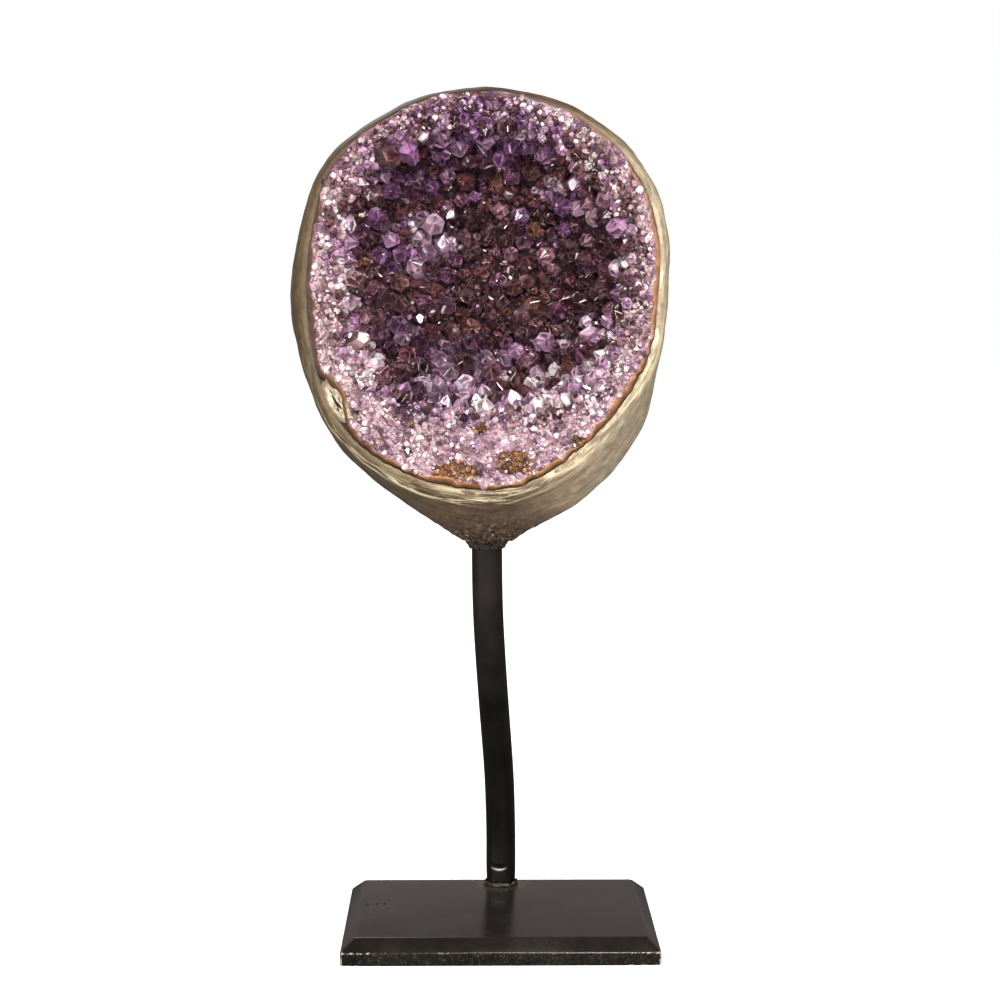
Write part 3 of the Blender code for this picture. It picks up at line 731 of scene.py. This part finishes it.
GROWTH_ZONES = (                      # across and up the face in mm, reach, colours, strength
    (-32, 30, 15, (VIOLET, DEEP_VIOLET), 2.2), (-36, 12, 10, (VIOLET, LILAC), 1.0),
    (-24, 46, 14, (VIOLET, LILAC), 3), (2, 48, 15, (VIOLET, DEEP_VIOLET), 2.4),
    (-8, 54, 11, (VIOLET, LILAC), 3), (20, 50, 10, (VIOLET, LILAC), 2),
    (27, 30, 11, (VIOLET, LILAC), 1.6), (-19, 22, 8, (LILAC, PALE_LILAC), 14),
    (-12, -22, 11, (LILAC, PALE_LILAC, VIOLET), 8), (0, -24, 9, (LILAC, VIOLET), 7),
    (18, -20, 9, (PALE_LILAC, LILAC), 3), (32, -16, 11, (LILAC, PALE_LILAC), 2),
    (-6, -36, 13, (PALE_LILAC, LILAC), 5), (24, 38, 6, (PALE_LILAC, LILAC), 3),
    (14, 56, 7, (PALE_LILAC,), 5), (-26, -8, 8, (LILAC, VIOLET), 1.5),
    (-26, -37, 9, (VIOLET, DEEP_VIOLET, WINE), 3))
AMBER_SPOTS = ((-8, -54, 8, 3), (10, -51.5, 6, 4), (-0.6, -41, 2.2, 1.8), (30, -45, 3, 2))


def wall_share(x, y):
    return math.hypot(x, y) / mouth(math.atan2(y, x))


def wall_point(x, y):
    """Point of the cavity's wall or of the cut rim behind a place on the face."""
    share = wall_share(x, y)
    depth = CAVITY_DEPTH * math.sqrt(max(0.0, 1 - min(share, 1.0) ** WALL_POWER))
    fade = min(1.0, max(0.0, (1.12 - share) / 0.3))
    lump = noise.noise(Vector((x, y, 0.004)) / LUMP_SIZE) * LUMP_HEIGHT * fade
    sag = max(0.0, min(1.0, (1.35 - share) / 0.35)) * 1.2 * MM if share > 1 else 1.2 * MM
    height = lump - depth - sag
    angle = math.atan2(y, x)
    over = min(1.0, max(0.0, (math.hypot(x, y) - agate_inner(angle)) / (2 * MM) + 1))
    lifted = (0.65 + 0.15 * near_angle(angle, 100, 85)) * MM
    return Vector((x, y, height + (lifted - height) * over))


def wall_normal(x, y):
    step = 1.2 * MM
    here = wall_point(x, y)
    side = wall_point(x + step, y) - here
    rise = wall_point(x, y + step) - here
    normal = side.cross(rise).normalized()
    return (normal + Vector((0, 0, 0.25))).normalized()


def is_amber(x, y):
    return any(((x / MM - spot_x) / wide) ** 2 + ((y / MM - spot_y) / tall) ** 2 < 1
               for spot_x, spot_y, wide, tall in AMBER_SPOTS)


def color_place(x, y, dice, size=0):
    """Colour of the quartz at a place: a pick from the nearest growth zones."""
    if is_amber(x, y):
        return dice.choice(AMBER)
    pale_from = np.interp(math.degrees(math.atan2(y, x)), PALE_ANGLES, PALE_RADII, period=360)
    beyond = math.hypot(x, y) / MM - pale_from + dice.gauss(0, 2.5)
    pale = 1 / (1 + math.exp(-beyond / 1.8))
    if dice.random() < pale:
        if y < LEDGE_TOP and dice.random() < (0.75 if wall_share(x, y) < 1 else 0.4):
            return dice.choice(LEDGE_COLORS)
        cloud = noise.noise(Vector((x, y, 0.02)) / (7 * MM)) * 1.1
        weights = [weight * math.exp(cloud * slope) for weight, slope in zip(RIM_WEIGHTS, RIM_SLOPES)]
        if size > 3.4 * MM:
            return dice.choice((LILAC, LILAC, PALE_LILAC, "#8c6c76", "#76575a"))
        return dice.choices(RIM_COLORS, weights)[0]
    choices = [WINE, BROWN_WINE, DARK_WINE, ROSE_WINE, DEEP_VIOLET, BROWN_GLASS]
    weights = [0.6, 0.45, 0.5, 0.4, 0.5, 0.12]
    for zone_x, zone_y, reach, colors, strength in GROWTH_ZONES:
        near = math.hypot(x / MM - zone_x, y / MM - zone_y) / reach
        weight = strength * math.exp(-near * near * 1.6)
        for color in colors:
            choices.append(color)
            weights.append(weight / len(colors))
    return dice.choices(choices, weights)[0]


def quartz_material(name, milk, milk_color, settings, grain):
    """Quartz: paler along the edges of each point, clouded, with painted light and shade per facet, and
    bright specks and white facets as painted glints.
    """
    material, tree, shader = new_material(name, {"IOR": 1.544, **settings})
    tint = add_node(tree, "ShaderNodeAttribute", {"attribute_name": "tint"})
    core = add_node(tree, "ShaderNodeAttribute", {"attribute_name": "core"})
    facet_light = add_node(tree, "ShaderNodeAttribute", {"attribute_name": "facet_light"})
    place = add_node(tree, "ShaderNodeTexCoord").outputs["Object"]
    veils = add_node(tree, "ShaderNodeTexNoise", {"Scale": 1 / (1.3 * MM), "Detail": 6,
                                                  "Roughness": 0.7}, {"Vector": place})
    cloudy = add_node(tree, "ShaderNodeMapRange", {"From Min": 0.34, "From Max": 0.66, "To Min": 0.4,
                                                   "To Max": 1.45}, {"Value": veils.outputs["Fac"]})
    inside = add_node(tree, "ShaderNodeMath", {"operation": 'MULTIPLY', "use_clamp": True},
                      {0: core.outputs["Fac"], 1: cloudy.outputs[0]})
    lighter = add_node(tree, "ShaderNodeMix", {"data_type": 'RGBA', "blend_type": 'MULTIPLY', 0: 1.0,
                                               7: (2.3, 2.2, 2.25, 1)}, {6: tint.outputs["Color"]})
    pale = add_node(tree, "ShaderNodeMix", {"data_type": 'RGBA', 0: milk, 7: linear(milk_color)},
                    {6: lighter.outputs[2]})
    deep = add_node(tree, "ShaderNodeMix", {"data_type": 'RGBA', "blend_type": 'MULTIPLY', 0: 1.0,
                                            7: (0.56, 0.44, 0.48, 1)}, {6: tint.outputs["Color"]})
    body = add_node(tree, "ShaderNodeMix", {"data_type": 'RGBA'},
                    {0: inside.outputs[0], 6: pale.outputs[2], 7: deep.outputs[2]})
    shade = add_node(tree, "ShaderNodeMath", {"operation": 'MULTIPLY'},
                     {0: facet_light.outputs["Fac"], 1: cloudy.outputs[0]})
    clouded = add_node(tree, "ShaderNodeMix", {"data_type": 'RGBA', "blend_type": 'MULTIPLY', 0: 1.0,
                                               "clamp_result": True},
                       {6: body.outputs[2], 7: shade.outputs[0]})
    grains = add_node(tree, "ShaderNodeTexNoise", {"Scale": 1 / (0.75 * MM), "Detail": 2,
                                                   "Roughness": 0.6}, {"Vector": place})
    # Painted glints: bright specks inside the quartz.
    specks = add_node(tree, "ShaderNodeMapRange", {"From Min": 0.67, "From Max": 0.75, "To Max": 0.6},
                      {"Value": grains.outputs["Fac"]})
    white_glints = add_node(tree, "ShaderNodeMapRange", {"From Min": 3.5, "From Max": 4.5, "To Max": 1.0},
                       {"Value": facet_light.outputs["Fac"]})
    glint_mask = add_node(tree, "ShaderNodeMath", {"operation": 'MAXIMUM'},
                      {0: specks.outputs[0], 1: white_glints.outputs[0]})
    final = add_node(tree, "ShaderNodeMix", {"data_type": 'RGBA', 7: linear("#fbf2ec")},
                     {0: glint_mask.outputs[0], 6: clouded.outputs[2]})
    crumbs = add_node(tree, "ShaderNodeTexNoise", {"Scale": 1 / (0.6 * MM), "Detail": 3,
                                                   "Roughness": 0.7}, {"Vector": place})
    crumbled = add_node(tree, "ShaderNodeMapRange", {
        "From Min": 0.36, "From Max": 0.62, "To Min": 1 - grain, "To Max": 1 + grain * 0.55},
        {"Value": crumbs.outputs["Fac"]})
    grained = add_node(tree, "ShaderNodeMix", {"data_type": 'RGBA', "blend_type": 'MULTIPLY', 0: 1.0,
                                               "clamp_result": True},
                       {6: final.outputs[2], 7: crumbled.outputs[0]})
    tree.links.new(grained.outputs[2], shader.inputs["Base Color"])
    waves = add_node(tree, "ShaderNodeTexNoise", {"Scale": 1 / (1.8 * MM), "Detail": 3}, {"Vector": place})
    bump = add_node(tree, "ShaderNodeBump", {"Strength": 0.2, "Distance": 0.2 * MM},
                    {"Height": waves.outputs["Fac"]})
    tree.links.new(bump.outputs[0], shader.inputs["Normal"])
    return material


bed_profile = [(ring / BED_RINGS, 0) for ring in range(BED_RINGS + 1)]
bed_bm = spun(bed_profile + [(0.93, -1), (0.6, -1), (0, -1)], BED_TURNS, False)
bed_tint = bed_bm.verts.layers.float_color.new("tint")
bed_shade = bed_bm.verts.layers.float.new("facet_light")
bed_core = bed_bm.verts.layers.float.new("core")
dice = random.Random(11)
for vert in bed_bm.verts:
    angle = math.atan2(vert.co.y, vert.co.x)
    reach = (agate_line(angle)[1] + 0.4 * MM) * math.hypot(vert.co.x, vert.co.y)
    x, y = reach * math.cos(angle), reach * math.sin(angle)
    point = wall_point(x, y)
    if vert.co.z < -0.5:
        point.z -= 9 * MM
    crumbs = noise.noise(point / (1.6 * MM)) * 0.4 * MM
    vert.co = stone @ (point + Vector((0, 0, crumbs - 0.3 * MM)))
    vert[bed_tint] = Vector(linear(color_place(x, y, dice)))
    # Painted shade: the bed is darkened to 0.3 inside the mouth and 0.8 on the rim.
    vert[bed_shade] = 0.8 if wall_share(x, y) > 0.97 else 0.3
    vert[bed_core] = 1
bmesh.ops.recalc_face_normals(bed_bm, faces=bed_bm.faces)
bed = add_object("quartz_bed", bed_bm, quartz_material("milky_quartz_crust", 0.2, "#c9b0b4", {
    "Roughness": 0.6, "Specular IOR Level": 0.15}, 0.6))
bed.data.shade_smooth()
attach(bed, "root")
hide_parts("quartz_druse")


# Crystals: quartz grows as six-sided prisms that end in a point of six unequal faces.
# Several cut points are kept as patterns, and each crystal is one of them, turned.

PATTERNS = 16
POINT_SLOPE = math.radians(51.8)      # between a point's face normal and the crystal's axis
GLINT_SHARE = 0.012                   # of the facets, painted white as glints


def crystal_pattern(seed, length, inset=0, bevel=0):
    """A crystal one unit across with its tip at the origin, growing along +Z."""
    dice = random.Random(seed)
    bm = bmesh.new()
    bmesh.ops.create_cone(bm, cap_ends=True, segments=6, radius1=0.47, radius2=0.5, depth=length + 0.6,
                          matrix=Matrix.Translation((0, 0, 0.3 - length / 2)))
    for side in range(6):
        angle = (side + 0.5) * math.tau / 6 + dice.gauss(0, 0.03)
        drop = dice.uniform(0, 0.07) if side % 2 else dice.uniform(-0.16, 0.0)
        tilt = POINT_SLOPE + dice.gauss(0, 0.03)
        normal = Vector((math.cos(angle) * math.sin(tilt), math.sin(angle) * math.sin(tilt),
                         math.cos(tilt)))
        cut = bmesh.ops.bisect_plane(bm, geom=bm.verts[:] + bm.edges[:] + bm.faces[:],
                                     plane_co=(0, 0, -drop), plane_no=normal, clear_outer=True)
        open_edges = [item for item in cut["geom_cut"] if isinstance(item, bmesh.types.BMEdge)]
        bmesh.ops.holes_fill(bm, edges=open_edges, sides=0)
    tip = max(vert.co.z for vert in bm.verts)
    bmesh.ops.translate(bm, vec=(0, 0, -tip), verts=bm.verts)
    bmesh.ops.recalc_face_normals(bm, faces=bm.faces)
    core = bm.verts.layers.float.new("core")
    if bevel:
        edges = [edge for edge in bm.edges if max(vert.co.z for vert in edge.verts) > -1.2]
        bmesh.ops.bevel(bm, geom=edges, affect='EDGES', offset=bevel, segments=1, profile=0.5,
                        material=-1)
    # Below the point the core value is 1, the deep colour, as painted shade in the gaps between crystals.
    for vert in bm.verts:
        vert[core] = 0.2 + 0.6 * max(0.0, 1 + vert.co.z / 0.3) if vert.co.z > -1 else 1
    if inset:
        faces = [face for face in bm.faces if face.normal.z > 0.2 and face.calc_area() > 0.03]
        bmesh.ops.inset_individual(bm, faces=faces, thickness=inset, use_even_offset=True)
        for vert in {vert for face in faces for vert in face.verts}:
            vert[core] = min(1.0, 0.75 + 0.5 * max(0.0, 1 + vert.co.z / 0.4))
    mesh = bpy.data.meshes.new("pattern")
    bm.to_mesh(mesh)
    bm.free()
    return mesh


def plant(name, plants, patterns, material, variety, seed):
    """One object from many placed crystals. A plant is (matrix, hex colour)."""
    dice = np.random.default_rng(seed)
    bm = bmesh.new()
    cores, tints, facet_lights = [], [], []
    for matrix, color in plants:
        pattern = patterns[int(dice.integers(len(patterns)))]
        copy = pattern.copy()
        copy.transform(matrix)
        bm.from_mesh(copy)
        bpy.data.meshes.remove(copy)
        core = np.empty(len(pattern.vertices))
        pattern.attributes["core"].data.foreach_get("value", core)
        cores.append(1 - (1 - core) * dice.uniform(0.3, 1))
        heights = np.array([vert.co.z for vert in pattern.vertices])
        # Each crystal's tint varies at random and darkens down the prism as painted shade in the gaps.
        shade = dice.uniform(1 - variety, 1 + variety) * np.clip(1 + (heights + 0.6) / 0.8, 0.15, 1)
        tints.append(np.column_stack([np.outer(shade, linear(color)[:3]), np.ones(len(core))]))
        # Per-facet light value: random brightness as painted internal reflections and shade, with a few
        # facets set to 5 as painted glints.
        facet_light = np.clip(dice.lognormal(0, variety * 1.4, len(pattern.polygons)), 0.3, 2.8)
        facet_light[dice.random(len(facet_light)) < GLINT_SHARE] = 5
        facet_lights.append(facet_light)
    piece = add_object(name, bm, material)
    for attribute, kind, domain, slot, values in (
            ("core", 'FLOAT', 'POINT', "value", cores), ("tint", 'FLOAT_COLOR', 'POINT', "color", tints),
            ("facet_light", 'FLOAT', 'FACE', "value", facet_lights)):
        old = piece.data.attributes.get(attribute)
        if old:
            piece.data.attributes.remove(old)
        layer = piece.data.attributes.new(attribute, kind, domain)
        layer.data.foreach_set(slot, np.concatenate(values).astype(np.float32).ravel())
    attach(piece, "root")
    return piece


class Ground:
    """Keeps crystals from standing in each other, by their distance on the wall."""
    def __init__(self, cell):
        self.cell = cell
        self.taken = {}

    def key(self, point):
        return tuple(int(math.floor(value / self.cell)) for value in point)

    def free(self, point, radius):
        kx, ky, kz = self.key(point)
        for dx in (-1, 0, 1):
            for dy in (-1, 0, 1):
                for dz in (-1, 0, 1):
                    for other, reach in self.taken.get((kx + dx, ky + dy, kz + dz), ()):
                        if (other - point).length < radius + reach:
                            return False
        return True

    def take(self, point, radius):
        self.taken.setdefault(self.key(point), []).append((point, radius))


def crystal_matrix(tip, direction, size, tall, dice):
    """Places a pattern of a size with its tip at a point of the stone."""
    turn = Vector((0, 0, 1)).rotation_difference(direction).to_matrix().to_4x4()
    spin = Matrix.Rotation(dice.uniform(0, math.tau), 4, 'Z')
    stretch = Matrix.Diagonal((size, size, size * tall, 1))
    return stone @ Matrix.Translation(tip) @ turn @ spin @ stretch


def scatter(ground, tries, sizes, shares, proud, overlap, lean, seed, reach=0.46):
    """Random crystals on the wall between two shares of the mouth's radius."""
    dice = random.Random(seed)
    plants = []
    for _ in range(tries):
        x, y = dice.uniform(-68, 68) * MM, dice.uniform(-68, 68) * MM
        share = wall_share(x, y)
        size = dice.uniform(*sizes)
        if not shares[0] <= share <= shares[1] or is_amber(x, y) and size > 2 * MM:
            continue
        angle = math.atan2(y, x)
        if math.hypot(x, y) > agate_line(angle)[1] - size * 0.35:
            continue
        root = wall_point(x, y)
        if not ground.free(root, size * overlap):
            continue
        ground.take(root, size * reach)
        wobble = Vector((dice.gauss(0, lean), dice.gauss(0, lean), dice.gauss(0, lean)))
        direction = (wall_normal(x, y) + wobble).normalized()
        tip = root + direction * size * dice.uniform(*proud)
        plants.append((crystal_matrix(tip, direction, size, dice.uniform(0.9, 1.2), dice),
                       color_place(x, y, dice, size)))
    return plants


edged = [crystal_pattern(seed, 1.5, 0.13, 0.022) for seed in range(PATTERNS)]
plain = [crystal_pattern(seed + 50, 1.3) for seed in range(PATTERNS)]
amethyst = quartz_material("amethyst_crystal", 0.25, "#b59a9e", {
    "Roughness": 0.04, "Transmission Weight": 0.49}, 0.12)
ground = Ground(8 * MM)

dice = random.Random(5)
for number in range(1, 25):
    node = f"crystal_{number:02d}"
    corners = {tuple(round(value / MM, 3) for value in to_stone @ vert.co)
               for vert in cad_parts[node].data.vertices}
    points = [Vector(corner) * MM for corner in sorted(corners)]
    tip = max(points, key=lambda point: point.z)
    far = sorted(points, key=lambda point: -(point - tip).length)[:6]
    root = sum(far, Vector()) / len(far)
    along = (tip - root).normalized()
    width = 2 * max((point - root).cross(along).length for point in points)
    ground.take(wall_point(tip.x, tip.y), width * 0.42)
    own = crystal_pattern(200 + number, (tip - root).length / width, 0.13, 0.02)
    piece = plant(f"large_point_{number:02d}", [(crystal_matrix(tip, along, width * 0.97, 1, dice),
                                                 color_place(tip.x, tip.y, dice))],
                  [own], amethyst, 0.3, number)
    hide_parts(node)

tall = scatter(ground, 14000, (4.8 * MM, 7.6 * MM), (0, 1.0), (0.55, 0.95), 0.3, 0.24, 21)
small = scatter(ground, 24000, (2.8 * MM, 4.4 * MM), (0, 1.06), (0.5, 0.9), 0.26, 0.3, 22)
fill = scatter(ground, 45000, (1.6 * MM, 2.6 * MM), (0.0, 1.15), (0.5, 0.9), 0.2, 0.35, 23)
for name, plants, patterns in (("tall_points", tall, edged), ("small_points", small, edged),
                               ("filling_points", fill, plain)):
    druse = plant(name, plants, patterns, amethyst, 0.4, 31)

sugary = quartz_material("sugary_quartz", 0.35, "#d3c2bc", {
    "Roughness": 0.12, "Transmission Weight": 0.25, "Subsurface Weight": 0.12,
    "Subsurface Radius": (1.0, 0.75, 0.75), "Subsurface Scale": 0.7 * MM}, 0.6)
sugar_ground = Ground(4 * MM)
sugar_big = scatter(sugar_ground, 9000, (2.2 * MM, 3.6 * MM), (1.0, 1.8), (0.2, 0.5), 0.42, 0.4, 24)
sugar_small = scatter(sugar_ground, 60000, (0.9 * MM, 2.1 * MM), (0.98, 1.8), (0.2, 0.7), 0.36, 0.6, 25)
sugar = plant("sugary_rim", sugar_big + sugar_small, plain, sugary, 0.25, 32)

low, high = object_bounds()
